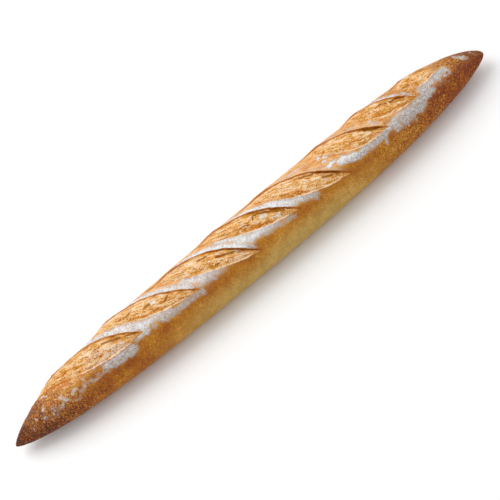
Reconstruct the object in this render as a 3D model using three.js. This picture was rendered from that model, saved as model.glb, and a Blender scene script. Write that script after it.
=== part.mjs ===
// A baguette: one long hand-shaped loaf with two pointed ends, a flat base where it lay on the
// baking stone, and eight slanting scores along its crown. Each score has burst open in the oven,
// so its torn surface swells up like a lens, and the crust on its far side has lifted into an ear.
//
// Millimetres. X runs along the loaf, Y across it, Z up. The origin is under the middle of the
// loaf, on the plane it rests on.

import * as THREE from "three";
import { mergeVertices } from "three/addons/utils/BufferGeometryUtils.js";

const WHOLE_TURN = 2 * Math.PI;

// The loaf as it was shaped.
const LENGTH = 560;
const HALF_WIDTH = 33;
const WIDEST_HEIGHT = 19.7; // of the line where the loaf is widest, above the base
const CROWN_RISE = 26; // from the widest line up to the crown
const BELLY_DROP = 24; // from the widest line down, where the belly would end if it weren't flat
const LEFT_TIP_HEIGHT = 12.3;
const RIGHT_TIP_HEIGHT = 14;
const LEFT_LIFT_LENGTH = 32; // over these lengths from the tips the widest line comes level
const RIGHT_LIFT_LENGTH = 22;
const LEFT_ROUNDING = 1.6; // of the two tips
const RIGHT_ROUNDING = 3.4;
const LEFT_TAPER = 58; // lengths over which the two ends fill out
const RIGHT_TAPER = 47;
const TAPER_POWER = 0.88;

// The right half lies in a slight bow.
const BOW = 3.3;
const BOW_PLACE = 236;
const BOW_LENGTH = 87;

// Where the scores start and end: the place along the loaf, and the angle round it from the crown,
// with the far side (+Y) positive. Opening is how many degrees each has burst open, below its
// middle line and above it, and height is its share of the full height.
const SCORES = [
  { far: [-257, 69], near: [-119.5, -31], opening: [33, 22], height: 1 },
  { far: [-180, 70], near: [-56, -37], opening: [25, 15], height: 1 },
  { far: [-100, 36], near: [10, -55], opening: [12, 26], height: 1 },
  { far: [-48, 45], near: [60, -42], opening: [16, 22], height: 1 },
  { far: [10, 43], near: [116.5, -53], opening: [18, 23], height: 1 },
  { far: [81, 47], near: [166.5, -32], opening: [27, 13], height: 0.9 },
  { far: [128, 57], near: [204, -24], opening: [27, 16], height: 0.85 },
  { far: [188, 34], near: [236, 7], opening: [29, 23], height: 0.55 },
];
const OPENING_FULLNESS = 0.945; // under 1 makes the opening blunter at its ends
const LOWER_SKEW = 1.08; // over 1 puts the widest part of the opening nearer the near end
const UPPER_SKEW = 1.19;

// Heights of the relief of a score, and how far it reaches.
const SWELL = 2.9; // of the torn surface
const SWELL_REACH = 0.55; // of the way across, where the swell is full
const EAR_HEIGHT = 2.8;
const EAR_STEP = 0.4; // from the torn surface up to the ear, beside the crevice
const EAR_WIDTH = 9;
const LIP_HEIGHT = 0.8; // of the thin edge of the ear, in its far part
const LIP_PLACE = 0.8; // past the edge
const LIP_WIDTH = 1.3;
const LIP_TO = 0.5; // of the way along, where the lip has sunk into the ear
const CREVICE_DEPTH = 1.5; // under the ear
const CREVICE_PLACE = 1.9; // of its bottom, before the ear
const CREVICE_WIDTH = 2.4;
const CREVICE_FROM = 0.45; // of the way along, where it starts to deepen
const CREVICE_TO = 0.85;
const RIM_HEIGHT = 0.8; // of the lower edge of the cut
const RIM_WIDTH = 2.4;
const EDGE_WIDTH = 1.4; // the step from the crevice up to the ear
const RISE_FROM = 0.07; // of the way along a score
const FULL_HEIGHT_FROM = 0.32;
const FULL_HEIGHT_TO = 0.88;

// The mesh: a sphere with its poles at the tips, drawn out into the loaf.
const RINGS = 104;
const SEGMENTS = 40;
const RING_CROWDING = 0.5; // of the rings, towards the tips
const CROWN_CROWDING = 0.38; // of the segments, towards the crown
const MESH_TWIST = (WHOLE_TURN * RINGS) / SEGMENTS; // one segment per ring, along the scores

const CRUST = new THREE.MeshStandardMaterial({ color: 0xc8873c, roughness: 0.75, metalness: 0 });

const toRadians = THREE.MathUtils.degToRad;
const toDegrees = THREE.MathUtils.radToDeg;
const { clamp, smoothstep, lerp, euclideanModulo } = THREE.MathUtils;

// How full one end is, from 0 at its tip to 1, at a distance from that tip.
function endFullness(distance, taper, rounding) {
  const rounded = Math.sqrt(distance * (distance + 2 * rounding));
  return 1 - Math.exp(-((rounded / taper) ** TAPER_POWER));
}

function fullness(x) {
  const left = endFullness(Math.max(x + LENGTH / 2, 0), LEFT_TAPER, LEFT_ROUNDING);
  const right = endFullness(Math.max(LENGTH / 2 - x, 0), RIGHT_TAPER, RIGHT_ROUNDING);
  return left * right;
}

// How far open a score is at a share of the way along it, from 0 at its ends to 1.
function openShare(along, skew) {
  return Math.sin(Math.PI * along ** skew) ** OPENING_FULLNESS;
}

// The point of the shaped loaf at a place along it and an angle from the crown, before scoring.
function shapedPoint(x, angle) {
  const full = fullness(x);
  const nearLeftTip = Math.exp(-(LENGTH / 2 + x) / LEFT_LIFT_LENGTH);
  const nearRightTip = Math.exp(-(LENGTH / 2 - x) / RIGHT_LIFT_LENGTH);
  const drop = (WIDEST_HEIGHT - LEFT_TIP_HEIGHT) * nearLeftTip;
  const middleHeight = WIDEST_HEIGHT - drop - (WIDEST_HEIGHT - RIGHT_TIP_HEIGHT) * nearRightTip;
  const sideways = BOW * Math.exp(-(((x - BOW_PLACE) / BOW_LENGTH) ** 2));
  const up = Math.cos(angle);
  const rise = up > 0 ? CROWN_RISE : BELLY_DROP;
  const y = sideways + HALF_WIDTH * full * Math.sin(angle);
  const z = middleHeight + rise * full * up;
  return new THREE.Vector3(x, y, z);
}

// How far the relief of one score lifts or sinks the surface there.
function scoreRelief(score, x, angle) {
  const along = (x - score.far[0]) / (score.near[0] - score.far[0]);
  if (along <= 0 || along >= 1) {
    return 0;
  }
  const rising = score.height * smoothstep(along, RISE_FROM, FULL_HEIGHT_FROM);
  const raised = rising * (1 - smoothstep(along, FULL_HEIGHT_TO, 1));
  const middle = lerp(score.far[1], score.near[1], along);
  const lowerEdge = middle - score.opening[0] * openShare(along, LOWER_SKEW);
  const upperEdge = middle + score.opening[1] * openShare(along, UPPER_SKEW);
  const millimetresPerDegree = toRadians(HALF_WIDTH * fullness(x));
  const pastLower = (toDegrees(angle) - lowerEdge) * millimetresPerDegree;
  const beforeUpper = (upperEdge - toDegrees(angle)) * millimetresPerDegree;
  const width = Math.max(pastLower + beforeUpper, 1);

  const rim = RIM_HEIGHT * Math.exp(-((pastLower / RIM_WIDTH) ** 2));
  const across = clamp(pastLower / width, 0, 1);
  const swell = SWELL * Math.sin((Math.PI / 2) * clamp(across / SWELL_REACH, 0, 1));
  const torn = lerp(swell, EAR_HEIGHT - EAR_STEP, smoothstep(across, SWELL_REACH, 1));
  const fromCrevice = (beforeUpper - CREVICE_PLACE) / CREVICE_WIDTH;
  const depth = CREVICE_DEPTH * smoothstep(along, CREVICE_FROM, CREVICE_TO);
  const crevice = depth * Math.exp(-(fromCrevice ** 2));
  const ear = EAR_HEIGHT * Math.exp(Math.min(beforeUpper, 0) / EAR_WIDTH);
  const fromLip = (beforeUpper + LIP_PLACE) / LIP_WIDTH;
  const farPart = 1 - smoothstep(along, FULL_HEIGHT_FROM, LIP_TO);
  const lip = LIP_HEIGHT * farPart * Math.exp(-(fromLip ** 2));
  const overEdge = smoothstep(-beforeUpper, -EDGE_WIDTH, EDGE_WIDTH);
  return raised * (rim + lip + lerp(torn - crevice, ear, overEdge));
}

// The finished surface: each shaped point is moved out along the section by the scores there,
// and the base is flat.
function loafPoint(x, angle) {
  const point = shapedPoint(x, angle);
  const outward = new THREE.Vector3(0, Math.sin(angle) / HALF_WIDTH, Math.cos(angle) / CROWN_RISE);
  outward.normalize();
  const relief = SCORES.reduce((sum, score) => sum + scoreRelief(score, x, angle), 0);
  point.addScaledVector(outward, relief);
  point.z = Math.max(point.z, 0);
  return point;
}

function makeLoaf() {
  const geometry = new THREE.SphereGeometry(1, SEGMENTS, RINGS);
  geometry.rotateZ(Math.PI / 2); // the first pole goes to -X
  geometry.deleteAttribute("normal");
  geometry.deleteAttribute("uv");
  const loaf = mergeVertices(geometry);
  const position = loaf.getAttribute("position");
  for (let i = 0; i < position.count; i += 1) {
    const polar = Math.acos(clamp(-position.getX(i), -1, 1)) / Math.PI;
    const crowded = (1 - Math.cos(Math.PI * polar)) / 2;
    const x = LENGTH * (lerp(polar, crowded, RING_CROWDING) - 0.5);
    const twisted = Math.atan2(position.getY(i), position.getZ(i)) - MESH_TWIST * polar;
    const turn = euclideanModulo(twisted + Math.PI, WHOLE_TURN) - Math.PI;
    const angle = turn - CROWN_CROWDING * Math.sin(turn);
    const point = loafPoint(x, angle);
    position.setXYZ(i, point.x, point.y, point.z);
  }
  loaf.computeBoundingBox();
  const middle = loaf.boundingBox.getCenter(new THREE.Vector3());
  loaf.translate(-middle.x, -middle.y, -loaf.boundingBox.min.z);
  loaf.computeVertexNormals();
  const mesh = new THREE.Mesh(loaf, CRUST);
  mesh.name = "loaf";
  return mesh;
}

const baguette = new THREE.Group();
baguette.add(makeLoaf());

export default baguette;
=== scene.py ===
"""A baguette: a long loaf with pointed ends, eight burst scores along its crown, and flour
left on the skin between them. It lies on a plain pale floor in soft light.

The shape is worked out in millimetres from the loaf's named sizes, and placed in metres. A place
on the loaf is its x, and its angle round the section from the crown, in degrees, with the far
side (+Y) positive.
"""

import math

import bpy
import numpy as np
from mathutils import Matrix, Vector


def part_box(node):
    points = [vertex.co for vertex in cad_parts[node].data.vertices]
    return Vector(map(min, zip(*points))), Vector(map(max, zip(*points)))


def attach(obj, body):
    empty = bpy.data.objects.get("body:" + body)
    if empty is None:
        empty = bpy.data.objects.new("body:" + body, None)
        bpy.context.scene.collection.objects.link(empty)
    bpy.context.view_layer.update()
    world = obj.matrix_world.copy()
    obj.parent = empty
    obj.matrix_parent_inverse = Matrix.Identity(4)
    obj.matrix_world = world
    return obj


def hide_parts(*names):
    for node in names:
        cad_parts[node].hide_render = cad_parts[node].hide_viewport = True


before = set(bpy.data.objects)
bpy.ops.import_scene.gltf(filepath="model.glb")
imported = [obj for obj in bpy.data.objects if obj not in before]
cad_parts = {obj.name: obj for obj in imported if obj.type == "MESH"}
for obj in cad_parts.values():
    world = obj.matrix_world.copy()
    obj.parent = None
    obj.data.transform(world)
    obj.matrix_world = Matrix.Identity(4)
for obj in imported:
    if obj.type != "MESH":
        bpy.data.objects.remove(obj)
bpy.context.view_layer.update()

MM = 0.001

# The shaped loaf, in millimetres.
LENGTH = 560
HALF_WIDTH = 33
WIDEST_HEIGHT = 19.7  # of the line where the loaf is widest, above the base
CROWN_RISE = 26  # from the widest line up to the crown
BELLY_DROP = 24  # from the widest line down, where the belly would end if it weren't flat
LEFT_TIP_HEIGHT = 12.3
RIGHT_TIP_HEIGHT = 14
LEFT_LIFT_LENGTH = 32  # over these lengths from the tips the widest line comes level
RIGHT_LIFT_LENGTH = 22
LEFT_ROUNDING = 1.6  # of the two tips
RIGHT_ROUNDING = 3.4
LEFT_TAPER = 58  # lengths over which the two ends fill out
RIGHT_TAPER = 47
TAPER_POWER = 0.88
BOW = 3.3  # sideways, of the right half
BOW_PLACE = 236
BOW_LENGTH = 87

# Each score: the place of its far end, the place of its near end, how many degrees it has opened
# below and above its middle line, and the share of its full height that it has.
SCORES = (
    ((-257, 69), (-119.5, -31), (33, 22), 1.0),
    ((-180, 70), (-56, -37), (25, 15), 1.0),
    ((-100, 36), (10, -55), (12, 26), 1.0),
    ((-48, 45), (60, -42), (16, 22), 1.0),
    ((10, 43), (116.5, -53), (18, 23), 1.0),
    ((81, 47), (166.5, -32), (27, 13), 0.9),
    ((128, 57), (204, -24), (27, 16), 0.85),
    ((188, 34), (236, 7), (29, 23), 0.55),
)
OPENING_FULLNESS = 0.945  # under 1 makes the opening blunter at its ends
LOWER_SKEW = 1.08  # over 1 puts the widest part of the opening nearer the near end
UPPER_SKEW = 1.19
RISE_FROM = 0.07  # of the way along a score
FULL_HEIGHT_FROM = 0.32
FULL_HEIGHT_TO = 0.88
SCORE_SLANT = math.radians(25)  # about how far they turn from the loaf's length

# The relief of a score: heights, widths and places in millimetres.
SWELL = 2.9
SWELL_REACH = 0.55  # of the way across, where the swell is full
EAR_HEIGHT = 2.8
EAR_WIDTH = 9
EAR_STEP = 0.4  # from the torn surface up to the ear, where the crevice is shallow
EAR_OVERHANG = 0.5
OVERHANG_REACH = 3.0
LIP_HEIGHT = 0.8  # of the thin edge of the ear in its far part
LIP_PLACE = 0.8  # past the upper edge
LIP_WIDTH = 1.3
FAR_PART_END = (0.3, 0.5)  # of the way along, over which the near part takes over
CREVICE_DEPTH = 1.5
CREVICE_WIDTH = 1.7
CREVICE_PLACE = 1.5
CREVICE_GROWTH = (0.45, 0.85)  # of the way along, over which it deepens
UNDERCUT = 0.3
UNDERCUT_WIDTH = 1.4
FURROW_DEPTH = 0.5  # of the dip behind the rim
FURROW_PLACE = 1.6
STREAK_HEIGHT = 0.6
LUMP_HEIGHT = 0.6
GRAIN_HEIGHT = 0.6  # of the finest grain, which is shaded and not shaped
RIM_HEIGHT = 0.8
RIM_WIDTH = 0.9
EDGE_WIDTH = 0.45
TEAR_DEPTH = 1.1
TEAR_EDGE = 0.35  # the height of its edges
TEAR_REACH = 1.4  # of its half-width, over which it fades out

# Tears inside the scores: where each starts and ends, its half-width in millimetres, and its
# share of the full depth, which also sets how dark the painted shade in it is.
TEARS = (
    ((-194, 24), (-188, 25), 1.4, 0.6),
    ((-188, 25), (-181, 18), 1.2, 0.5),
    ((-172, 13), (-168, 11), 1.1, 0.8),
    ((-167, 1), (-160, -1), 1.3, 0.8),
    ((-157, 1), (-150, -5), 1.4, 0.8),
    ((-150, -5), (-140, -13), 1.1, 0.9),
    ((-135, -18), (-125, -24), 1.0, 1.0),
    ((-128, 12), (-121, 11), 1.5, 0.45),
    ((-121, 11), (-117, 15), 1.3, 0.6),
    ((-105, 0), (-101, -2), 1.5, 0.9),
    ((-88, -16), (-83, -12), 1.0, 0.8),
    ((-69, 19), (-54, 17), 1.1, 0.5),
    ((-43, 3), (-34, -3), 1.4, 0.7),
    ((-49, -14), (-42, -15), 0.9, 0.5),
    ((-36, -21), (-29, -25), 0.9, 0.5),
    ((-27, -15), (-18, -23), 1.1, 1.3),
    ((-18, -23), (-11, -29), 1.3, 1.3),
    ((-11, -29), (-4, -36), 1.1, 1.2),
    ((5, -3), (10, -4), 1.0, 0.6),
    ((12, -7), (15, -8), 1.2, 0.6),
    ((19, -6), (21, -1), 1.2, 0.8),
    ((21, -1), (26, -2), 1.3, 1.0),
    ((26, -2), (38, -16), 1.4, 1.1),
    ((38, -16), (46, -27), 1.5, 1.1),
    ((57, 8), (61, 7), 1.3, 0.5),
    ((75, -2), (86, -12), 1.4, 0.9),
    ((91, -27), (105, -39), 1.3, 0.8),
    ((142, -13), (143, -14), 1.2, 0.8),
    ((147, -10), (152, -17), 1.5, 1.3),
    ((152, -17), (160, -23), 1.4, 1.3),
    ((169, 10), (174, 11), 1.4, 0.8),
    ((174, 11), (179, 3), 1.3, 0.8),
    ((182, 0), (191, -2), 1.4, 1.3),
    ((191, -2), (194, -8), 1.6, 1.3),
    ((199, 12), (206, 7), 1.4, 0.6),
)

# How much deeper the torn surface of each score has baked than the palest one.
TORN_BAKING = (0.3, 0.0, 0.0, 0.45, 0.1, 0.1, 0.5, 0.2)

# How uneven the colour of the torn surface of each score is.
TORN_UNEVENNESS = (0.8, 0.7, 1.1, 1.1, 0.75, 1.2, 1.2, 0.85)

# How deep the crevice under each ear is, how brown its edge, and how dark the painted shade in
# the crevice and along the ear.
EAR_DEPTH_AND_BROWNING = (0.45, 0.6, 1.0, 0.95, 0.85, 0.8, 0.65, 0.4)

# How dark the painted shade on the skin below each score's lower edge is: in its far part, for
# each score, and in its near part.
FAR_LIP_SHADE = (1.0, 0.2, 0.2, 0.3, 0.3, 0.4, 0.45, 0.3)
NEAR_LIP_SHADE = 0.22

# Flour on the strip of skin above each score: how thick it is in its far part and in its near
# part, and its width in millimetres.
STRIP_FLOUR = (
    (1.05, 0.8, 11),
    (0.9, 0.85, 8),
    (0.75, 1.0, 7),
    (0.5, 0.95, 6.5),
    (0.36, 0.3, 8),
    (0.4, 0.4, 7),
    (0.6, 0.75, 6),
    (0.3, 0.3, 5),
)

# Other flour on the skin and, less of it, inside the scores: where each smear starts and ends,
# its half-width in millimetres, and how thick it is. It fades out over SMEAR_REACH half-widths.
SKIN_FLOUR = (
    ((-234, 39), (-228, 13), 1.7, 0.7),
    ((-233, 3), (-236, -12), 1.5, 0.68),
    ((-248, -18), (-247, -20), 1.4, 0.65),
    ((-255, -40), (-253, -51), 1.3, 0.5),
    ((-239, -38), (-235, -50), 1.7, 0.45),
    ((-230, -47), (-228, -58), 1.6, 0.48),
    ((-230, -24), (-226, -37), 1.7, 0.6),
    ((-226, -37), (-220, -43), 2.1, 0.62),
    ((-220, -43), (-217, -35), 1.6, 0.55),
    ((-218, -22), (-212, -39), 2.3, 0.6),
    ((-212, -39), (-205, -55), 2.2, 0.64),
    ((-205, -36), (-199, -31), 2.0, 0.58),
    ((-203, -57), (-197, -46), 1.6, 0.56),
    ((-197, -45), (-191, -39), 3.0, 0.64),
    ((-198, -11), (-192, -11), 1.6, 0.55),
    ((-190, -23), (-188, -39), 1.8, 0.58),
    ((-188, -41), (-175, -45), 2.8, 0.62),
    ((-175, -44), (-165, -44), 3.0, 0.58),
    ((-165, -40), (-137, -45), 5.4, 0.95),
    ((-140, 7), (-114, -23), 5.0, 0.85),
    ((-128, -32), (-117, -33), 4.2, 0.8),
    ((-113, -23), (-90, -32), 4.0, 0.8),
    ((-121, -35), (-108, -37), 2.8, 0.5),
    ((-97, -39), (-56, -44), 3.8, 0.72),
    ((-65, -11), (-39, -29), 5.0, 0.85),
    ((-54, -31), (-28, -35), 4.6, 0.62),
    ((-30, 31), (-19, 16), 2.6, 0.8),
    ((-19, 12), (0, -11), 4.0, 1.0),
    ((-2, -20), (33, -33), 5.4, 0.95),
    ((31, -38), (48, -46), 3.4, 0.6),
    ((39, 3), (53, -19), 4.0, 1.0),
    ((53, -21), (76, -39), 4.4, 0.8),
    ((76, -41), (76, -49), 1.5, 0.6),
    ((62, 30), (69, 22), 1.6, 0.6),
    ((69, 22), (80, 20), 1.7, 0.75),
    ((80, 20), (90, 16), 1.3, 0.45),
    ((99, 9), (100, 8), 1.3, 1.5),
    ((105, 2), (106, 1), 1.2, 1.5),
    ((100, -5), (102, -6), 1.3, 1.4),
    ((102, -17), (103, -18), 1.5, 1.4),
    ((106, -15), (108, -16), 1.7, 1.4),
    ((108, -11), (109, -12), 1.1, 1.1),
    ((114, -24), (126, -34), 3.9, 1.3),
    ((125, -36), (133, -39), 3.0, 1.1),
    ((133, -36), (154, -39), 3.8, 0.85),
    ((161, -11), (164, -23), 1.1, 0.7),
    ((156, -1), (157, -2), 1.2, 0.8),
    ((160, -34), (158, -44), 2.6, 0.95),
    ((158, -44), (156, -55), 1.2, 0.85),
    ((169, -38), (170, -50), 1.7, 0.8),
    ((156, -36), (174, -36), 3.6, 0.9),
    ((174, -38), (201, -44), 7.0, 0.88),
    ((183, -46), (181, -60), 1.3, 0.8),
    ((191, -48), (190, -64), 1.5, 0.75),
    ((199, -46), (200, -58), 1.2, 0.7),
    ((213, -34), (214, -46), 1.3, 0.7),
    ((201, -36), (216, -33), 4.8, 0.85),
    ((212, -19), (237, -15), 5.2, 0.95),
    ((255, 19), (262, -13), 2.2, 0.75),
    ((270, 8), (271, -22), 1.2, 0.75),
)
SCORE_FLOUR = (
    ((-224, 37), (-187, 5), 6.0, 0.14),
    ((-196, 26), (-147, -10), 8.0, 0.2),
    ((-176, -4), (-162, -9), 3.8, 0.52),
    ((-181, -12), (-167, -23), 4.2, 0.48),
    ((-158, -20), (-141, -27), 4.4, 0.6),
    ((-98, -3), (-95, -6), 1.7, 1.1),
    ((-11, -29), (-8, -30), 1.4, 0.6),
    ((-24, -11), (-20, -14), 1.3, 0.6),
    ((-20, -36), (-7, -40), 3.0, 0.4),
    ((26, -12), (31, -15), 1.7, 0.85),
    ((34, -24), (40, -28), 1.6, 0.95),
    ((46, 7), (56, 5), 1.3, 0.5),
)

SMEAR_REACH = 1.8
SMEAR_CORE = 0.88  # of the way in, where it is full
FINGER_WAVER = 1.3  # how far the edges of the flour wander, in fingers round the loaf
FINE_WAVER = 0.9
LEFT_WAVER = 1.5  # more, at the left end
FLOUR_SPECKS = 0.2  # a thickness that shows only as specks

# The mesh of the loaf, and how its lines crowd together on the crown and at the scores' edges.
RINGS = 560
SEGMENTS = 176
RING_CROWDING = 0.35
TWIST = 1.55  # turns of the mesh lines from tip to tip, which takes them along the scores
ANGLE_STEPS = 1440
CROWN_CROWDING = 1.5
CROWN_SPAN = (60, 100)  # degrees from the crown, over which that crowding ends
UPPER_EDGE_CROWDING = 5.0
LOWER_EDGE_CROWDING = 2.0
CROWDING_WIDTH = 1.5

# How far the marks on the mesh reach from the edges of a score, in millimetres.
EDGE_REACH = 4
EAR_MARK = 1.1  # and as much again where the crevice is deep
FAR_EAR_MARK = 2.4
CREVICE_MARK = 1.8
LIP_MARK = 1.8
NEAR_LIP_PLACE = 1.9  # below the lower edge
UNDER_EAR_REACH = 9

# The crumb's pattern is read over this width across each score, and this much further on from
# one score to the next, so that no two are alike.
TORN_FLOW_WIDTH = 24
TORN_FLOW_STEP = 60

# The baking of the skin.
BAKED_MIDDLE = 0.53
BAKED_ENDS = 0.38  # more than the middle
PALEST_PLACE = 20  # along the loaf
PALEST_TO_ENDS = 260
LEFT_END_BAKED = 0.34  # more still
RIGHT_END_BAKED = 0.01
SIDE_BAKED = 0.07
CROWN_PALENESS = 0.3
TIP_PALENESS = 0.4
TIP_LENGTH = 6
FAR_CROWN = 32  # degrees more that the pale crown reaches down the far side

# The skin's own waves and blisters, in millimetres, and where it is blistered and speckled.
WAVE_HEIGHT = 0.45
SMALL_WAVE_HEIGHT = 0.12
PLAIN_BLISTER_HEIGHT = 0.2
BLISTER_HEIGHT = 1.2  # more, where the skin is blistered
RIGHT_BLISTERS = 0.25  # as against the left end
BLISTERS_LOST_LOW = 0.75
LEAST_SPECKLED = 0.35

NOISE_TABLE = 64
NOISE_START = 17.3
LAYER_WEIGHT = 0.55  # of a layer of noise, against the one before


def smooth(value, low, high):
    t = np.clip((value - low) / (high - low), 0, 1)
    return t * t * (3 - 2 * t)


def blend(a, b, share):
    return a + (b - a) * share


def noise(places, size, seed):
    """Smooth noise from -1 to 1 with features of a size."""
    table = np.random.default_rng(seed).uniform(-1, 1, (NOISE_TABLE,) * 3)
    place = places / size + NOISE_START
    cell = np.floor(place).astype(int)
    part = place - cell
    part = part**3 * (part * (part * 6 - 15) + 10)
    total = 0
    for corner in np.ndindex(2, 2, 2):
        share = np.prod(np.where(corner, part, 1 - part), axis=1)
        i, j, k = ((cell + corner) % NOISE_TABLE).T
        total = total + share * table[i, j, k]
    return total


def layered_noise(places, size, seed, layers=3):
    total, weight = 0, 0
    for layer in range(layers):
        share = LAYER_WEIGHT**layer
        total = total + share * noise(places, size / 2**layer, seed + layer)
        weight += share
    return total / weight


def drawn_along_scores(points, stretch):
    """Places that make a noise's features longer in the direction of the scores."""
    cos, sin = math.cos(SCORE_SLANT), math.sin(SCORE_SLANT)
    along = (points[:, 0] * cos - points[:, 1] * sin) / stretch
    across = points[:, 0] * sin + points[:, 1] * cos
    return np.stack([along, across, points[:, 2]], axis=1)


# The shape of the loaf


def end_fullness(distance, taper, rounding):
    rounded = np.sqrt(distance * (distance + 2 * rounding))
    return 1 - np.exp(-((rounded / taper) ** TAPER_POWER))


def fullness(x):
    left = end_fullness(np.maximum(x + LENGTH / 2, 0), LEFT_TAPER, LEFT_ROUNDING)
    right = end_fullness(np.maximum(LENGTH / 2 - x, 0), RIGHT_TAPER, RIGHT_ROUNDING)
    return left * right


def per_degree(x):
    """Millimetres round the section for each degree of angle."""
    return np.radians(HALF_WIDTH * fullness(x))


def shaped_points(x, angle):
    """Points of the loaf before scoring."""
    full = fullness(x)
    near_left = np.exp(-(LENGTH / 2 + x) / LEFT_LIFT_LENGTH)
    near_right = np.exp(-(LENGTH / 2 - x) / RIGHT_LIFT_LENGTH)
    middle = WIDEST_HEIGHT - (WIDEST_HEIGHT - LEFT_TIP_HEIGHT) * near_left
    middle = middle - (WIDEST_HEIGHT - RIGHT_TIP_HEIGHT) * near_right
    sideways = BOW * np.exp(-(((x - BOW_PLACE) / BOW_LENGTH) ** 2))
    side, up = np.sin(np.radians(angle)), np.cos(np.radians(angle))
    rise = np.where(up > 0, CROWN_RISE, BELLY_DROP)
    return np.stack([x, sideways + HALF_WIDTH * full * side, middle + rise * full * up], axis=1)


def section_directions(angle):
    """The directions out of the section and round it, at each angle."""
    side, up = np.sin(np.radians(angle)), np.cos(np.radians(angle))
    outward = np.stack([0 * side, side / HALF_WIDTH, up / CROWN_RISE], axis=1)
    around = np.stack([0 * side, up * HALF_WIDTH, -side * CROWN_RISE], axis=1)
    outward /= np.linalg.norm(outward, axis=1, keepdims=True)
    around /= np.linalg.norm(around, axis=1, keepdims=True)
    return outward, around


def open_share(along, skew):
    return np.sin(np.pi * along**skew) ** OPENING_FULLNESS


class ScorePlace:
    """Where points are in one score: the share of the way along it, and the distances in
    millimetres past its ends, past its lower edge and before its upper edge."""

    def __init__(self, score, x, angle):
        (far_x, far_angle), (near_x, near_angle), (below, above), height = score
        self.along = np.clip((x - far_x) / (near_x - far_x), 0, 1)
        self.past_ends = np.maximum(np.maximum(far_x - x, x - near_x), 0)
        middle = blend(far_angle, near_angle, self.along)
        lower = middle - below * open_share(self.along, LOWER_SKEW)
        upper = middle + above * open_share(self.along, UPPER_SKEW)
        self.past_lower = (angle - lower) * per_degree(x)
        self.before_upper = (upper - angle) * per_degree(x)
        self.run = near_x - far_x
        self.raised = height * smooth(self.along, RISE_FROM, FULL_HEIGHT_FROM)
        self.raised = self.raised * (1 - smooth(self.along, FULL_HEIGHT_TO, 1))
        self.far_part = 1 - smooth(self.along, *FAR_PART_END)
        self.deep = height * smooth(self.along, *CREVICE_GROWTH)

    @property
    def across(self):
        """The share of the way from the lower edge to the upper."""
        return np.clip(self.past_lower / np.maximum(self.past_lower + self.before_upper, 1), 0, 1)

    def fade(self, start, full, fading):
        """1 along the middle of the score, and 0 towards its ends."""
        return smooth(self.along, start, full) * (1 - smooth(self.along, fading, 1))

    def waver(self, lower_noise, upper_noise):
        share = self.fade(0, 0.1, 0.93)
        self.past_lower = self.past_lower + lower_noise * share
        self.before_upper = self.before_upper + upper_noise * share


def ring_places():
    """The x of each ring of the mesh, from tip to tip, closer together at the tips."""
    part = np.linspace(0, 1, RINGS + 1)
    return LENGTH * (blend(part, (1 - np.cos(np.pi * part)) / 2, RING_CROWDING) - 0.5)


def angle_table(x_rings):
    """For each ring, how the mesh lines are shared out over the angles: most on the crown, and
    closest at the edges of the scores."""
    angles = np.linspace(-180, 180, ANGLE_STEPS + 1)
    table = []
    for x in x_rings:
        share = 1 + CROWN_CROWDING * (1 - smooth(abs(angles), *CROWN_SPAN))
        for score in SCORES:
            place = ScorePlace(score, np.full_like(angles, x), angles)
            at_upper = np.exp(-((place.before_upper / CROWDING_WIDTH) ** 2))
            at_lower = np.exp(-((place.past_lower / CROWDING_WIDTH) ** 2))
            share += UPPER_EDGE_CROWDING * place.raised * at_upper
            share += LOWER_EDGE_CROWDING * place.raised * at_lower
        total = np.concatenate([[0], np.cumsum((share[1:] + share[:-1]) / 2)])
        table.append(total / total[-1])
    return angles, table


def add_blank():
    """A sphere with its poles at the two tips, which the loaf is drawn out of."""
    bpy.ops.object.select_all(action="DESELECT")
    bpy.ops.mesh.primitive_uv_sphere_add(
        segments=SEGMENTS, ring_count=RINGS, radius=1, rotation=(0, math.pi / 2, 0)
    )
    bpy.ops.object.shade_smooth()
    bpy.ops.object.transform_apply(location=True, rotation=True, scale=True)
    blank = bpy.context.object
    blank.name = blank.data.name = "loaf_crust"
    return blank


def read_points(mesh, source="vertices", what="co"):
    flat = np.empty(len(mesh.vertices) * 3)
    getattr(mesh, source).foreach_get(what, flat)
    return flat.reshape(-1, 3)


def write_points(mesh, points):
    mesh.vertices.foreach_set("co", points.ravel())
    mesh.update()


def store_places(mesh, name, places):
    """Keeps a place in millimetres on each point, for the finish to read."""
    layer = mesh.attributes.new(name, "FLOAT_VECTOR", "POINT")
    layer.data.foreach_set("vector", places.astype(np.float32).ravel())


def store(mesh, name, values):
    """Keeps a mark from 0 to 1 on each point, for the finish to read."""
    layer = mesh.attributes.new(name, "FLOAT", "POINT")
    layer.data.foreach_set("value", np.clip(values, 0, 1).astype(np.float32))


def place_rings(mesh):
    """The x and angle that each point of the blank is drawn out to."""
    sphere = read_points(mesh)
    polar = np.arccos(np.clip(-sphere[:, 0], -1, 1)) / np.pi
    ring = np.rint(polar * RINGS).astype(int)
    x_rings = ring_places()
    angles, table = angle_table(x_rings)
    part = np.arctan2(sphere[:, 1], sphere[:, 2]) / (2 * np.pi) - TWIST * ring / RINGS
    part = part % 1
    angle = np.empty(len(sphere))
    for i in range(RINGS + 1):
        mine = ring == i
        angle[mine] = np.interp(part[mine], table[i], angles)
    return x_rings[ring], angle


def smear(x, angle, line, waver):
    """How close points are to the line between two places: 1 on it, 0 at its half-width."""
    (x0, angle0), (x1, angle1), half_width = line
    scale = per_degree(x)
    away_x, away_round = x - x0, (angle - angle0) * scale
    run_x, run_round = x1 - x0, (angle1 - angle0) * scale
    share = (away_x * run_x + away_round * run_round) / (run_x**2 + run_round**2 + 1e-6)
    share = np.clip(share, 0, 1)
    distance = np.hypot(away_x - share * run_x, away_round - share * run_round)
    return 1 - (distance + waver) / half_width


def flour_from(smears, x, angle, waver):
    """How thick the flour of some smears lies."""
    thickness = 0 * x
    for start, end, half_width, amount in smears:
        close = smear(x, angle, (start, end, half_width * SMEAR_REACH), waver)
        thickness = np.maximum(thickness, amount * smooth(close, 0, SMEAR_CORE))
    return thickness
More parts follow.
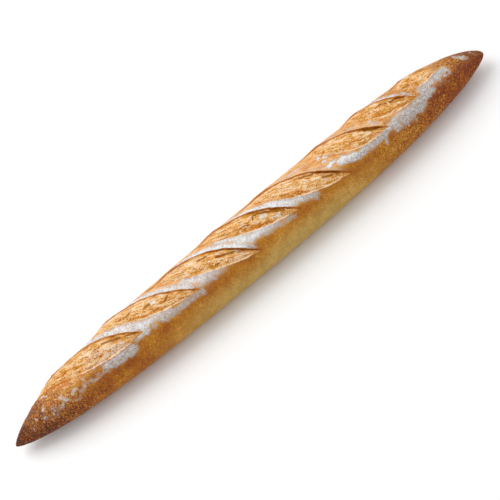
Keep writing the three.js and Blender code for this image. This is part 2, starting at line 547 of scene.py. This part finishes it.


# The marks that the scores leave, painted shade and highlight among them, under the names that
# Relief and the finish both know them by.
SCORE_MARKS = (
    "shade_under_ear", "lip", "ear", "rim", "crevice", "tear", "torn_baking", "low_side", "uneven"
)


class Relief:
    """The scores' relief at each point of the loaf, and the marks that the finish reads."""

    def __init__(self, x, angle, points):
        self.height = 0 * x
        self.lean = 0 * x
        self.inside = np.full_like(x, -EDGE_REACH)
        self.ear = 0 * x
        self.rim = 0 * x
        self.crevice = 0 * x
        self.low_side = 0 * x
        self.shade_under_ear = 0 * x
        self.lip = 0 * x
        self.strip_flour = 0 * x
        self.torn_baking = 0 * x
        self.uneven = 0 * x
        streaks = layered_noise(drawn_along_scores(points, 3.0), 2.4, 31, layers=2)
        lumps = layered_noise(drawn_along_scores(points, 1.6), 5.5, 41)
        self.rough = STREAK_HEIGHT * streaks + LUMP_HEIGHT * lumps
        self.tear = self.tears(x, angle, points)
        self.torn_flow = 0 * points
        self.flow = np.stack([x, angle * per_degree(x), 0 * x], axis=1)
        lower_noise = 0.5 * layered_noise(points, 13, 11) + 0.3 * noise(points, 2.6, 15)
        upper_noise = 0.6 * layered_noise(points, 15, 21) + 0.35 * noise(points, 2.8, 25)
        self.depth = 1 + 0.8 * layered_noise(points, 8, 81, layers=2)
        for i, score in enumerate(SCORES):
            place = ScorePlace(score, x, angle)
            place.waver(lower_noise, upper_noise)
            place.deep = place.deep * EAR_DEPTH_AND_BROWNING[i]
            self.add_score(place)
            self.add_flow(place, i)
            self.mark_score(place, EAR_DEPTH_AND_BROWNING[i])
            self.mark_torn(place, TORN_BAKING[i], TORN_UNEVENNESS[i])
            self.mark_lip_shade(place, FAR_LIP_SHADE[i])
            self.add_strip_flour(place, *STRIP_FLOUR[i])

    def tears(self, x, angle, points):
        """How far into a tear each point is."""
        waver = 0.6 * layered_noise(points, 3.2, 91, layers=2)
        torn = 0 * x
        for start, end, half_width, share in TEARS:
            close = smear(x, angle, (start, end, TEAR_REACH * half_width), waver)
            torn = np.maximum(torn, share * close)
        return torn

    def add_score(self, place):
        """The torn surface of one score, with the rim before it and the ear and lip beyond."""
        lower, upper, deep = place.past_lower, place.before_upper, place.deep
        rise = np.sin(np.pi / 2 * np.clip(place.across / SWELL_REACH, 0, 1))
        swell = blend(SWELL * rise, EAR_HEIGHT - EAR_STEP, smooth(place.across, 0.5, 1))
        swell = swell - FURROW_DEPTH * np.exp(-((lower - FURROW_PLACE) ** 2))
        crevice = np.exp(-(((upper - CREVICE_PLACE) / CREVICE_WIDTH) ** 2))
        crevice = CREVICE_DEPTH * deep * self.depth * crevice
        edge = smooth(self.tear, 0, 0.15) * (1 - smooth(self.tear, 0.15, 0.35))
        rough = self.rough + TEAR_EDGE * edge - TEAR_DEPTH * smooth(self.tear, 0.2, 0.8)
        torn = swell - crevice + rough * smooth(lower, 0, 3) * smooth(upper, 0, 1.5)
        rim = RIM_HEIGHT * np.exp(-((lower / RIM_WIDTH) ** 2))
        ear = EAR_HEIGHT * np.exp(np.minimum(upper, 0) / EAR_WIDTH)
        over_edge = smooth(-upper, -EDGE_WIDTH, EDGE_WIDTH)
        lip = LIP_HEIGHT * place.far_part * np.exp(-(((upper + LIP_PLACE) / LIP_WIDTH) ** 2))
        self.height += place.raised * (rim + lip + blend(torn, ear, over_edge))
        undercut = UNDERCUT * deep * np.exp(-((upper / UNDERCUT_WIDTH) ** 2))
        overhang = -EAR_OVERHANG * deep * np.exp(np.minimum(upper, 0) / OVERHANG_REACH)
        self.lean += place.raised * blend(undercut, overhang, over_edge)

    def add_flow(self, place, number):
        """Inside a score the crumb is drawn out along it, and narrows with it to its ends."""
        inside = np.minimum(place.past_lower, place.before_upper) - place.past_ends
        mine = (inside > self.inside) & (inside > -1)
        along = place.along * place.run
        across = TORN_FLOW_WIDTH * place.across + TORN_FLOW_STEP * number
        drawn = np.stack([along, across, 0 * along], axis=1)
        self.torn_flow = np.where(mine[:, None], drawn, self.torn_flow)
        self.inside = np.maximum(self.inside, inside)

    def mark_score(self, place, ear_strength):
        """The ear, browned, and painted with shade where the crevice is deep; the crevice's painted
        shade; and the pale rim's painted highlight.
        """
        lower, upper, deep = place.past_lower, place.before_upper, place.deep
        shown = place.fade(0, 0.06, 0.985)
        # The ear's own brown band; where the crevice is deep it moves into it and widens, as
        # painted shade.
        from_ear = abs(upper - 0.3 - 0.8 * deep) / (EAR_MARK + EAR_MARK * deep**2)
        far_ear = 0.9 * place.far_part * (1 - abs(upper - 0.6) / FAR_EAR_MARK)
        ear = np.maximum(ear_strength**0.5 * (1 - from_ear), far_ear)
        # Painted shade in the crevice under the ear.
        crevice = deep * self.depth * (1 - abs(upper - CREVICE_PLACE) / CREVICE_MARK)
        self.ear = np.maximum(self.ear, shown * ear)
        self.crevice = np.maximum(self.crevice, shown * crevice)
        # A painted highlight along the raised rim at the lower edge.
        rim = place.fade(0.25, 0.55, 0.85)
        self.rim = np.maximum(self.rim, shown * rim * (1 - abs(lower - 0.2) / EDGE_REACH))

    def mark_torn(self, place, torn_baking, unevenness):
        """Where the torn surface is darker, with painted shade under the ear, and how uneven its
        colour is.
        """
        lower, upper = place.past_lower, place.before_upper
        within = place.fade(0, 0.06, 0.985) * (lower > 0) * (upper > 0)
        self.low_side = np.maximum(self.low_side, within * (1 - smooth(place.across, 0.1, 1)))
        # Painted shade on the torn surface under the ear, fading out over UNDER_EAR_REACH.
        shade = within * smooth(place.along, 0.3, 0.7) * self.depth * (1 - upper / UNDER_EAR_REACH)
        self.shade_under_ear = np.maximum(self.shade_under_ear, shade)
        self.torn_baking = np.maximum(self.torn_baking, torn_baking * within)
        self.uneven = np.maximum(self.uneven, unevenness / 2 * within)

    def mark_lip_shade(self, place, far_amount):
        """Painted shade on the skin below a score's lower edge."""
        near_part = smooth(place.along, *FAR_PART_END)
        amount = blend(far_amount, NEAR_LIP_SHADE, near_part) * place.fade(0.06, 0.14, 0.93)
        from_lip = abs(place.past_lower + NEAR_LIP_PLACE * near_part)
        self.lip = np.maximum(self.lip, amount * (1 - from_lip / LIP_MARK))

    def add_strip_flour(self, place, far_amount, near_amount, width):
        """The flour on the skin above a score."""
        above = -place.before_upper
        strip = smooth(above, -0.6, 1.0) * (1 - smooth(above, 0.35 * width, 1.5 * width))
        strip = strip * place.fade(0.1, 0.3, 0.93)
        amount = blend(far_amount, near_amount, smooth(place.along, 0.3, 0.6))
        self.strip_flour = np.maximum(self.strip_flour, amount * strip)


def crown_share(x, angle):
    """Where the skin is streaked and reddish: on the crown, away from the two ends."""
    return (1 - smooth(down_side(angle), 12, 38)) * (1 - smooth(abs(x), 225, 262))


def fresh_flour(x, angle):
    """Where thick flour is white: on the upper side, less at the right end. Elsewhere it's grey."""
    return smooth(angle, -44, -22) * (1 - 0.7 * smooth(x, 165, 210))


def red_end(x, angle):
    """Where the skin has baked to a redder brown: down the sides of the right end."""
    return smooth(x, 170, 235) * smooth(down_side(angle), 10, 40)


def blistered(x, angle):
    """How blistered the skin is: near the two ends, and less so low down."""
    left = smooth(x, -268, -250) * (1 - smooth(x, -232, -165))
    right = RIGHT_BLISTERS * smooth(x, 205, 262)
    return np.maximum(left, right) * (1 - BLISTERS_LOST_LOW * smooth(-angle, 45, 75))


def speckled(x):
    """How strongly the skin is speckled: least in the middle of the loaf."""
    return blend(LEAST_SPECKLED, 1, np.maximum(1 - smooth(x, -235, -150), smooth(x, 110, 230)))


def skin_unevenness(x, angle, points, inside):
    """The height of the skin's own waves and blisters."""
    waves = WAVE_HEIGHT * layered_noise(points, 38, 51, layers=2)
    waves = waves + SMALL_WAVE_HEIGHT * layered_noise(points, 4, 61)
    blisters = np.maximum(layered_noise(drawn_along_scores(points, 1.3), 4.2, 71, layers=2), 0)
    on_skin = 1 - smooth(inside, -0.5, 0.5)
    height = PLAIN_BLISTER_HEIGHT + BLISTER_HEIGHT * blistered(x, angle)
    return waves + height * blisters**1.4 * on_skin


def down_side(angle):
    """Degrees down from the crown, or from where the pale crown ends on the far side."""
    return np.where(angle < 0, -angle, angle - FAR_CROWN)


def baking(x, angle, points):
    """How dark the skin has baked, from 0, palest, to 1, dark brown."""
    down = down_side(angle)
    from_middle = abs(x - PALEST_PLACE) / PALEST_TO_ENDS
    baked = BAKED_MIDDLE + BAKED_ENDS * from_middle**2
    baked += RIGHT_END_BAKED * smooth(x, 165, 240)
    baked += LEFT_END_BAKED * (1 - smooth(x, -266, -222))
    side = smooth(down, 34, 46) * (1 - smooth(down, 50, 75))
    baked += SIDE_BAKED * side * smooth(x, -150, -60)
    crown = 1 - smooth(down, 12, 42)
    inner = smooth(x, -252, -190) * (1 - smooth(x, 215, 275))
    baked -= CROWN_PALENESS * crown * inner
    baked -= TIP_PALENESS * (1 - smooth(x, -LENGTH / 2, -LENGTH / 2 + TIP_LENGTH))
    return baked + 0.13 * layered_noise(points, 22, 101)


def straw_share(x, angle, points):
    """Where the skin has hardly browned: low down in the middle of the loaf."""
    middle = smooth(x, -150, -15) * (1 - smooth(x, 75, 165))
    return middle * smooth(down_side(angle) + 9 * layered_noise(points, 30, 131), 50, 88)


def flour_thickness(x, angle, points, relief):
    """How thick the flour lies: none at 0, and only in specks up to FLOUR_SPECKS."""
    fingers = np.stack([x * 3.0, angle * per_degree(x), 0 * x], axis=1)
    left = 1 - smooth(x, -200, -150)
    waver = FINGER_WAVER * layered_noise(fingers, 9, 111, layers=2)
    waver = waver + FINE_WAVER * noise(points, 3.0, 121)
    waver = waver + LEFT_WAVER * left * noise(points, 2.4, 151)
    on_skin = 1 - smooth(relief.inside, -0.3, 0.5)
    patches = layered_noise(points, 3.2, 141, layers=2)
    patchy = 1 + (0.5 * patches - 0.2) * left
    right = smooth(x, 90, 180)
    broken = 0.4 * right + 0.7 * smooth(x, 190, 225)
    smears = flour_from(SKIN_FLOUR, x, angle, waver) * (patchy + patches * broken)
    strips = relief.strip_flour * (1 + 1.4 * patches * right)
    flour = np.maximum(smears, strips) * on_skin
    flour = np.maximum(flour, flour_from(SCORE_FLOUR, x, angle, waver))
    low = 12 * smooth(x, 60, 160)
    specks = FLOUR_SPECKS * (1 - smooth(down_side(angle) - low, 30, 62)) * (0.4 + 0.6 * on_skin)
    specks = specks * smooth(x, -276, -245)
    return specks + (1 - FLOUR_SPECKS) * flour


def make_loaf():
    loaf = add_blank()
    mesh = loaf.data
    x, angle = place_rings(mesh)
    shaped = shaped_points(x, angle)
    outward, around = section_directions(angle)
    relief = Relief(x, angle, shaped)
    points = shaped + outward * relief.height[:, None] + around * relief.lean[:, None]
    points[:, 2] = np.maximum(points[:, 2], 0)
    write_points(mesh, points)

    normals = read_points(mesh, "vertex_normals", "vector")
    skin = skin_unevenness(x, angle, shaped, relief.inside)
    off_base = smooth(points[:, 2], 0, 2.5) * smooth(fullness(x), 0.02, 0.3)
    points = points + normals * (skin * off_base)[:, None]
    points[:, 2] = np.maximum(points[:, 2], 0)
    low, high = points.min(axis=0), points.max(axis=0)
    lowest, highest = (np.array(corner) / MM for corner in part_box("loaf"))
    points[:, 1] += (lowest[1] + highest[1] - low[1] - high[1]) / 2
    write_points(mesh, points * MM)

    store(mesh, "flour", flour_thickness(x, angle, shaped, relief))
    store_places(mesh, "flow", relief.flow)
    store_places(mesh, "torn_flow", relief.torn_flow)
    store(mesh, "inside", 0.5 + relief.inside / (2 * EDGE_REACH))
    for name in SCORE_MARKS:
        store(mesh, name, getattr(relief, name))
    store(mesh, "baked", baking(x, angle, shaped))
    store(mesh, "straw", straw_share(x, angle, shaped))
    store(mesh, "crown", crown_share(x, angle))
    store(mesh, "fresh", fresh_flour(x, angle))
    store(mesh, "blistered", blistered(x, angle))
    store(mesh, "red_end", red_end(x, angle))
    store(mesh, "speckled", speckled(x))
    store(mesh, "ridge", 0.5 + 0.5 * relief.rough)
    add_bake_map(mesh)
    return loaf


def add_bake_map(mesh):
    """A map of the whole surface as four strips, each a quarter of the length, two by two."""
    own = mesh.uv_layers[0]
    flat = np.empty(len(mesh.loops) * 2)
    own.uv.foreach_get("vector", flat)
    place = flat.reshape(-1, 2)
    corners = np.empty(len(mesh.polygons), dtype=int)
    mesh.polygons.foreach_get("loop_total", corners)
    face = np.repeat(np.arange(len(corners)), corners)
    middle = np.bincount(face, place[:, 1]) / corners
    quarter = np.minimum((middle * 4).astype(int), 3)[face]
    margin = 0.01
    across = margin / 2 + (0.5 - margin) * place[:, 0] + 0.5 * (quarter % 2)
    along = margin / 2 + (0.5 - margin) * (place[:, 1] * 4 - quarter) + 0.5 * (quarter // 2)
    own.name = "OFBake"
    own.uv.foreach_set("vector", np.stack([across, along], axis=1).ravel())


# The finish


class Finish:
    """A material being made: adds nodes and joins them up."""

    def __init__(self, name):
        self.material = bpy.data.materials.new(name)
        self.material.use_nodes = True
        self.tree = self.material.node_tree
        self.surface = self.tree.nodes["Principled BSDF"]
        self.place = self.add("ShaderNodeTexCoord").outputs["Object"]

    def add(self, kind, **settings):
        made = self.tree.nodes.new(kind)
        for name, value in settings.items():
            setattr(made, name, value)
        return made

    def join(self, value, socket):
        if isinstance(value, bpy.types.NodeSocket):
            self.tree.links.new(value, socket)
        else:
            socket.default_value = value

    def mark(self, name):
        return self.add("ShaderNodeAttribute", attribute_name=name).outputs["Fac"]

    def noise(self, size, detail=3.0, rough=0.55):
        """Noise with features of a size in millimetres."""
        made = self.add("ShaderNodeTexNoise")
        made.inputs["Scale"].default_value = 1 / (size * MM)
        made.inputs["Detail"].default_value = detail
        made.inputs["Roughness"].default_value = rough
        self.join(self.place, made.inputs["Vector"])
        return made.outputs["Fac"]

    def streaks(self, places, size, stretch, detail=3.0, rough=0.55, slant=0.0):
        """Noise drawn out along the first axis of the places kept on the mesh."""
        turned = self.add("ShaderNodeMapping", vector_type="TEXTURE")
        turned.inputs["Rotation"].default_value = (0, 0, -slant)
        turned.inputs["Scale"].default_value = (stretch * size, size, size)
        kept = self.add("ShaderNodeAttribute", attribute_name=places).outputs["Vector"]
        self.join(kept, turned.inputs["Vector"])
        made = self.add("ShaderNodeTexNoise")
        made.inputs["Scale"].default_value = 1
        made.inputs["Detail"].default_value = detail
        made.inputs["Roughness"].default_value = rough
        self.join(turned.outputs["Vector"], made.inputs["Vector"])
        return made.outputs["Fac"]

    def math(self, operation, a, b=0.0, clamp=False):
        made = self.add("ShaderNodeMath", operation=operation, use_clamp=clamp)
        self.join(a, made.inputs[0])
        self.join(b, made.inputs[1])
        return made.outputs[0]

    def plus(self, a, b, times=1.0, middle=0.0):
        """Adds (b - middle) * times to a."""
        scaled = self.math("MULTIPLY_ADD", b, times)
        scaled.node.inputs[2].default_value = -middle * times
        return self.math("ADD", a, scaled)

    def vary(self, value, noise, times):
        """Adds noise, which is 0.5 where it changes nothing."""
        return self.plus(value, noise, times, 0.5)

    def spread(self, value, low, high, to_low=0.0, to_high=1.0):
        made = self.add("ShaderNodeMapRange", interpolation_type="SMOOTHSTEP")
        self.join(value, made.inputs["Value"])
        for name, number in (
            ("From Min", low), ("From Max", high), ("To Min", to_low), ("To Max", to_high)
        ):
            made.inputs[name].default_value = number
        return made.outputs["Result"]

    def mix(self, a, b, share):
        made = self.add("ShaderNodeMix", data_type="RGBA")
        self.join(share, made.inputs["Factor"])
        self.join(a, made.inputs["A"])
        self.join(b, made.inputs["B"])
        return made.outputs["Result"]

    def ramp(self, value, stops):
        made = self.add("ShaderNodeValToRGB")
        colours = made.color_ramp
        while len(colours.elements) < len(stops):
            colours.elements.new(0.5)
        for element, (place, colour) in zip(colours.elements, stops):
            element.position = place
            element.color = colour
        self.join(value, made.inputs["Fac"])
        return made.outputs["Color"]


def colour(red, green, blue):
    """A colour given as on a screen, 0 to 255, as the renderer counts it."""

    def linear(value):
        value /= 255
        return value / 12.92 if value <= 0.04045 else ((value + 0.055) / 1.055) ** 2.4

    return (linear(red), linear(green), linear(blue), 1.0)


SKIN_COLOURS = (
    (0.0, colour(242, 196, 136)),
    (0.26, colour(238, 180, 112)),
    (0.52, colour(186, 128, 38)),
    (0.68, colour(164, 97, 28)),
    (0.84, colour(137, 67, 26)),
    (1.0, colour(68, 33, 26)),
)
STRAW = colour(191, 157, 88)
DEEP_STRAW = colour(177, 141, 72)
TORN_COLOURS = (
    (0.0, colour(178, 100, 26)),
    (0.2, colour(212, 142, 56)),
    (0.4, colour(238, 182, 108)),
    (0.58, colour(244, 206, 152)),
    (0.76, colour(245, 218, 184)),
    (1.0, colour(240, 228, 216)),
)
TORN_ORANGE = colour(230, 148, 62)
TORN_OLIVE = colour(196, 142, 32)
TORN_CREAM = colour(252, 230, 200)
# The brown of the tears and pits, darkened with painted shade.
TEAR_COLOUR_AND_SHADE = colour(148, 90, 8)
# Painted shade in the crevice under the ear.
CREVICE_PAINTED_SHADE = colour(126, 72, 8)
# The ear's own brown, and painted shade where the crevice under it is deep.
EAR_COLOUR_AND_SHADE = colour(176, 94, 22)
# Painted shade on the skin below a score's lower edge.
LIP_PAINTED_SHADE = colour(194, 110, 42)
SKIN_RED = colour(206, 112, 62)
END_RED = colour(140, 58, 22)
SKIN_SCALES = colour(206, 168, 128)
# A painted highlight on the raised rim at each score's lower edge.
RIM_HIGHLIGHT = colour(254, 222, 186)
THIN_FLOUR = colour(180, 172, 167)
PALE_THIN_FLOUR = colour(214, 208, 205)
THIN_TORN_FLOUR = colour(228, 211, 196)
THICK_FLOUR = colour(238, 240, 241)
SHOULDER_FLOUR = colour(202, 196, 193)
FLOUR_SHADE = colour(134, 122, 114)


def skin_colour(finish, mottle, grain, fine):
    """The browned skin, with flecks at the ends, straw low down and red streaks on the crown."""
    flecks = finish.spread(finish.noise(1.7, detail=4, rough=0.7), 0.44, 0.62)
    flecks = finish.math("MULTIPLY", flecks, finish.mark("blistered"))
    streaks = finish.streaks("flow", 3.2, 3.5, detail=4, slant=SCORE_SLANT)
    baked = finish.vary(finish.mark("baked"), mottle, 0.35)
    streaks = finish.math("MULTIPLY", finish.math("SUBTRACT", streaks, 0.5), finish.mark("crown"))
    baked = finish.plus(baked, streaks, 0.7)
    speckles = finish.vary(finish.vary(0.0, grain, 1.5), fine, 1.2)
    baked = finish.plus(baked, finish.math("MULTIPLY", speckles, finish.mark("speckled")))
    skin = finish.ramp(finish.plus(baked, flecks, -0.36), SKIN_COLOURS)
    scales = finish.math("MULTIPLY", finish.spread(fine, 0.58, 0.7), finish.mark("blistered"))
    skin = finish.mix(skin, SKIN_SCALES, scales)
    red_end = finish.math("MULTIPLY", finish.mark("red_end"), 0.4)
    skin = finish.mix(skin, END_RED, red_end)
    tint = finish.spread(finish.vary(mottle, grain, 1.0), 0.34, 0.66)
    skin = finish.mix(skin, finish.mix(STRAW, DEEP_STRAW, tint), finish.mark("straw"))
    red = finish.streaks("flow", 2.6, 3.0, detail=4, rough=0.6, slant=SCORE_SLANT)
    red = finish.math("MULTIPLY", finish.spread(red, 0.48, 0.64, 0.0, 0.75), finish.mark("crown"))
    return finish.mix(skin, SKIN_RED, red)


def wrinkles(finish, size, stretch):
    """Thin lines that wander along the scores."""
    folds = finish.streaks("torn_flow", size, stretch, detail=3, rough=0.6)
    folds = finish.math("ABSOLUTE", finish.math("SUBTRACT", folds, 0.5))
    return finish.spread(folds, 0.004, 0.026, 1.0, 0.0)


def patched(finish, torn, patch_colour, patches, low, high, most):
    """The torn surface with a colour in patches, which show more where it is more uneven. Stains of
    the crumb's own are laid this way, and so is the pits' painted shade.
    """
    patches = finish.spread(patches, low, high, 0.0, most)
    patches = finish.math("MULTIPLY", patches, finish.mark("uneven"), clamp=True)
    return finish.mix(torn, patch_colour, patches)


def torn_colour(finish, grain, fine):
    """The crumb in the scores, with stains, wrinkles, tears, painted shade and highlights."""
    streaks = finish.streaks("torn_flow", 2.6, 3.4, detail=4, rough=0.6)
    patches = finish.streaks("torn_flow", 6, 2, detail=3)
    tone = finish.vary(0.64, finish.mark("ridge"), 0.4)
    tone = finish.vary(tone, patches, 1.5)
    tone = finish.vary(tone, streaks, 1.8)
    tone = finish.vary(tone, grain, 1.0)
    tone = finish.vary(tone, fine, 1.6)
    tone = finish.plus(tone, finish.mark("low_side"), -0.24)
    # Painted shade under the ear.
    tone = finish.plus(tone, finish.mark("shade_under_ear"), -0.34)
    tone = finish.plus(tone, finish.mark("torn_baking"), -0.26)
    tone = finish.plus(tone, finish.mark("tear"), -0.3)
    tone = finish.plus(tone, wrinkles(finish, 7, 2.6), -0.26)
    torn = finish.ramp(tone, TORN_COLOURS)
    cream = finish.streaks("torn_flow", 3, 1.8, detail=4, rough=0.6)
    # A painted highlight in cream on the raised edges of the tears.
    edges = finish.spread(finish.mark("tear"), 0.0, 0.16)
    edges = finish.plus(edges, finish.spread(finish.mark("tear"), 0.16, 0.34), -1.0)
    cream = finish.plus(cream, edges, 0.14)
    torn = patched(finish, torn, TORN_CREAM, cream, 0.55, 0.67, 1.4)
    orange = finish.streaks("torn_flow", 3.4, 4, detail=4, rough=0.6)
    torn = patched(finish, torn, TORN_ORANGE, orange, 0.52, 0.66, 1.4)
    olive = finish.streaks("torn_flow", 4.5, 1.8, detail=5, rough=0.65)
    # More olive under the ear: painted shade.
    olive = finish.plus(olive, finish.mark("shade_under_ear"), 0.08)
    torn = patched(finish, torn, TORN_OLIVE, olive, 0.53, 0.64, 1.6)
    # Dark pits: painted shade of small holes.
    pits = finish.streaks("torn_flow", 2.4, 2, detail=4, rough=0.6)
    torn = patched(finish, torn, TEAR_COLOUR_AND_SHADE, pits, 0.61, 0.67, 1.5)
    # The tears: the crumb's own brown, darkened with painted shade in their pits.
    tear = finish.vary(finish.mark("tear"), streaks, 1.5)
    tear = finish.vary(tear, grain, 1.8)
    return finish.mix(torn, TEAR_COLOUR_AND_SHADE, finish.spread(tear, 0.3, 0.62, 0.0, 0.78))


def flour_cover(finish, grain, fine):
    """How much of the crust the flour hides, broken up into clumps and grains."""
    clumps = finish.noise(4.5, detail=3, rough=0.5)
    thickness = finish.math("MULTIPLY_ADD", finish.mark("flour"), 1 / (1 - FLOUR_SPECKS))
    thickness.node.inputs[2].default_value = -FLOUR_SPECKS
    cover = finish.vary(thickness, clumps, 0.9)
    cover = finish.vary(cover, grain, 1.3)
    grains = finish.math("MULTIPLY", finish.math("SUBTRACT", fine, 0.5), finish.mark("flour"))
    return finish.plus(finish.vary(cover, fine, 0.9), grains, 0.8)


def crust_finish():
    finish = Finish("baked_crust")
    mottle = finish.noise(9, detail=4)
    grain = finish.noise(1.9, detail=3, rough=0.65)
    fine = finish.noise(0.95, detail=2, rough=0.6)

    edge = finish.vary(finish.mark("inside"), grain, 0.12)
    torn = finish.spread(edge, 0.48, 0.53)
    skin = skin_colour(finish, mottle, grain, fine)
    crust = finish.mix(skin, torn_colour(finish, grain, fine), torn)

    cover = flour_cover(finish, grain, fine)
    fresh = finish.mark("fresh")
    shade = finish.spread(finish.noise(6, detail=3), 0.4, 0.6, 0.2, 1.0)
    shade = finish.math("MULTIPLY", shade, fresh)
    film = finish.mix(finish.mix(THIN_FLOUR, PALE_THIN_FLOUR, shade), THIN_TORN_FLOUR, torn)
    crust = finish.mix(crust, film, finish.spread(cover, 0.22, 0.74, 0.0, 0.93))
    thick = finish.mix(SHOULDER_FLOUR, THICK_FLOUR, fresh)
    crust = finish.mix(crust, thick, finish.spread(cover, 0.68, 1.16))
    dents = finish.spread(finish.vary(fine, grain, 1.6), 0.38, 0.58, 0.7, 0.0)
    dents = finish.math("MULTIPLY", dents, finish.spread(fresh, 0.0, 1.0, 1.0, 0.15))
    dents = finish.math("MULTIPLY", dents, finish.spread(cover, 0.35, 0.8))
    crust = finish.mix(crust, FLOUR_SHADE, dents)

    # Painted shade on the skin below each score's lower edge.
    lip = finish.vary(finish.mark("lip"), grain, 0.9)
    lip = finish.vary(lip, fine, 0.6)
    crust = finish.mix(crust, LIP_PAINTED_SHADE, finish.spread(lip, 0.12, 0.6, 0.0, 0.9))
    # A painted highlight along the raised rim at each score's lower edge.
    rim = finish.vary(finish.mark("rim"), grain, 0.4)
    rim = finish.vary(rim, mottle, 0.6)
    crust = finish.mix(crust, RIM_HIGHLIGHT, finish.spread(rim, 0.78, 0.94, 0.0, 0.85))

    # The ear's own brown, reaching into a deep crevice as painted shade.
    ear = finish.vary(finish.mark("ear"), grain, 0.8)
    ear = finish.vary(ear, mottle, 0.6)
    crust = finish.mix(crust, EAR_COLOUR_AND_SHADE, finish.spread(ear, 0.16, 0.6, 0.0, 0.9))
    # Painted shade in the crevice under the ear.
    crevice = finish.vary(finish.mark("crevice"), grain, 0.8)
    crevice = finish.vary(crevice, mottle, 1.2)
    crust = finish.mix(crust, CREVICE_PAINTED_SHADE, finish.spread(crevice, 0.2, 0.8, 0.0, 0.95))
    finish.join(crust, finish.surface.inputs["Base Color"])
    finish.surface.inputs["Specular IOR Level"].default_value = 0.12

    rough = finish.spread(finish.math("ADD", torn, cover), 0.3, 1.2, 0.55, 0.92)
    finish.join(rough, finish.surface.inputs["Roughness"])

    bump = finish.add("ShaderNodeBump")
    bump.inputs["Strength"].default_value = 1.0
    bump.inputs["Distance"].default_value = GRAIN_HEIGHT * MM
    height = finish.vary(grain, fine, 0.5)
    finish.join(height, bump.inputs["Height"])
    finish.join(bump.outputs["Normal"], finish.surface.inputs["Normal"])
    return finish.material


def floor_finish():
    finish = Finish("pale_floor")
    finish.surface.inputs["Base Color"].default_value = (0.95, 0.95, 0.95, 1)
    finish.surface.inputs["Roughness"].default_value = 0.9
    finish.surface.inputs["Specular IOR Level"].default_value = 0.1
    return finish.material


# The stage


def add_floor():
    bpy.ops.object.select_all(action="DESELECT")
    bpy.ops.mesh.primitive_plane_add(size=12, location=(0, 0, 0))
    floor = bpy.context.object
    floor.name = "floor"
    floor.data.materials.append(floor_finish())


def add_light(name, direction, distance, size, power):
    """An area light that shines at the middle of the loaf from a direction."""
    lamp = bpy.data.lights.new(name, "AREA")
    lamp.shape = "DISK"
    lamp.size = size
    lamp.energy = power
    holder = bpy.data.objects.new(name, lamp)
    bpy.context.scene.collection.objects.link(holder)
    place = Vector(direction).normalized() * distance
    holder.location = place
    holder.rotation_euler = place.to_track_quat("Z", "Y").to_euler()


def add_surroundings():
    world = bpy.data.worlds.new("soft_surroundings")
    world.use_nodes = True
    background = world.node_tree.nodes["Background"]
    background.inputs["Color"].default_value = (1, 1, 1, 1)
    background.inputs["Strength"].default_value = 0.8
    bpy.context.scene.world = world


# The camera looks square onto the loaf's length, from above its near side, and is rolled so
# that the loaf runs from the lower left of the picture to the upper right.
ELEVATION = math.radians(50)
ROLL = math.radians(39.85)
LENS = 100
SENSOR = 36
PICTURE = 500  # pixels across
LOAF_IN_PICTURE = 610.9  # pixels from tip to tip
AIM_HEIGHT = 13.4


def add_camera():
    camera = bpy.data.cameras.new("camera")
    camera.lens = LENS
    camera.sensor_width = SENSOR
    holder = bpy.data.objects.new("camera", camera)
    bpy.context.scene.collection.objects.link(holder)
    shown_width = PICTURE / LOAF_IN_PICTURE * LENGTH * MM
    distance = shown_width * LENS / SENSOR
    back = Vector((0, -math.cos(ELEVATION), math.sin(ELEVATION)))
    level_up = Vector((0, math.sin(ELEVATION), math.cos(ELEVATION)))
    along = Vector((1, 0, 0))
    right = along * math.cos(ROLL) - level_up * math.sin(ROLL)
    up = along * math.sin(ROLL) + level_up * math.cos(ROLL)
    target = Vector((0, 0, AIM_HEIGHT * MM))
    holder.matrix_world = Matrix.Translation(target + back * distance) @ Matrix(
        (right, up, back)
    ).transposed().to_4x4()
    bpy.context.scene.camera = holder


add_camera()
add_floor()
add_surroundings()
add_light("key", direction=(-0.35, 0.6, 1.0), distance=2.4, size=2.6, power=31)
loaf = make_loaf()
loaf.data.materials.append(crust_finish())
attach(loaf, "root")
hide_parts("loaf")

bpy.context.scene.view_settings.view_transform = "Standard"
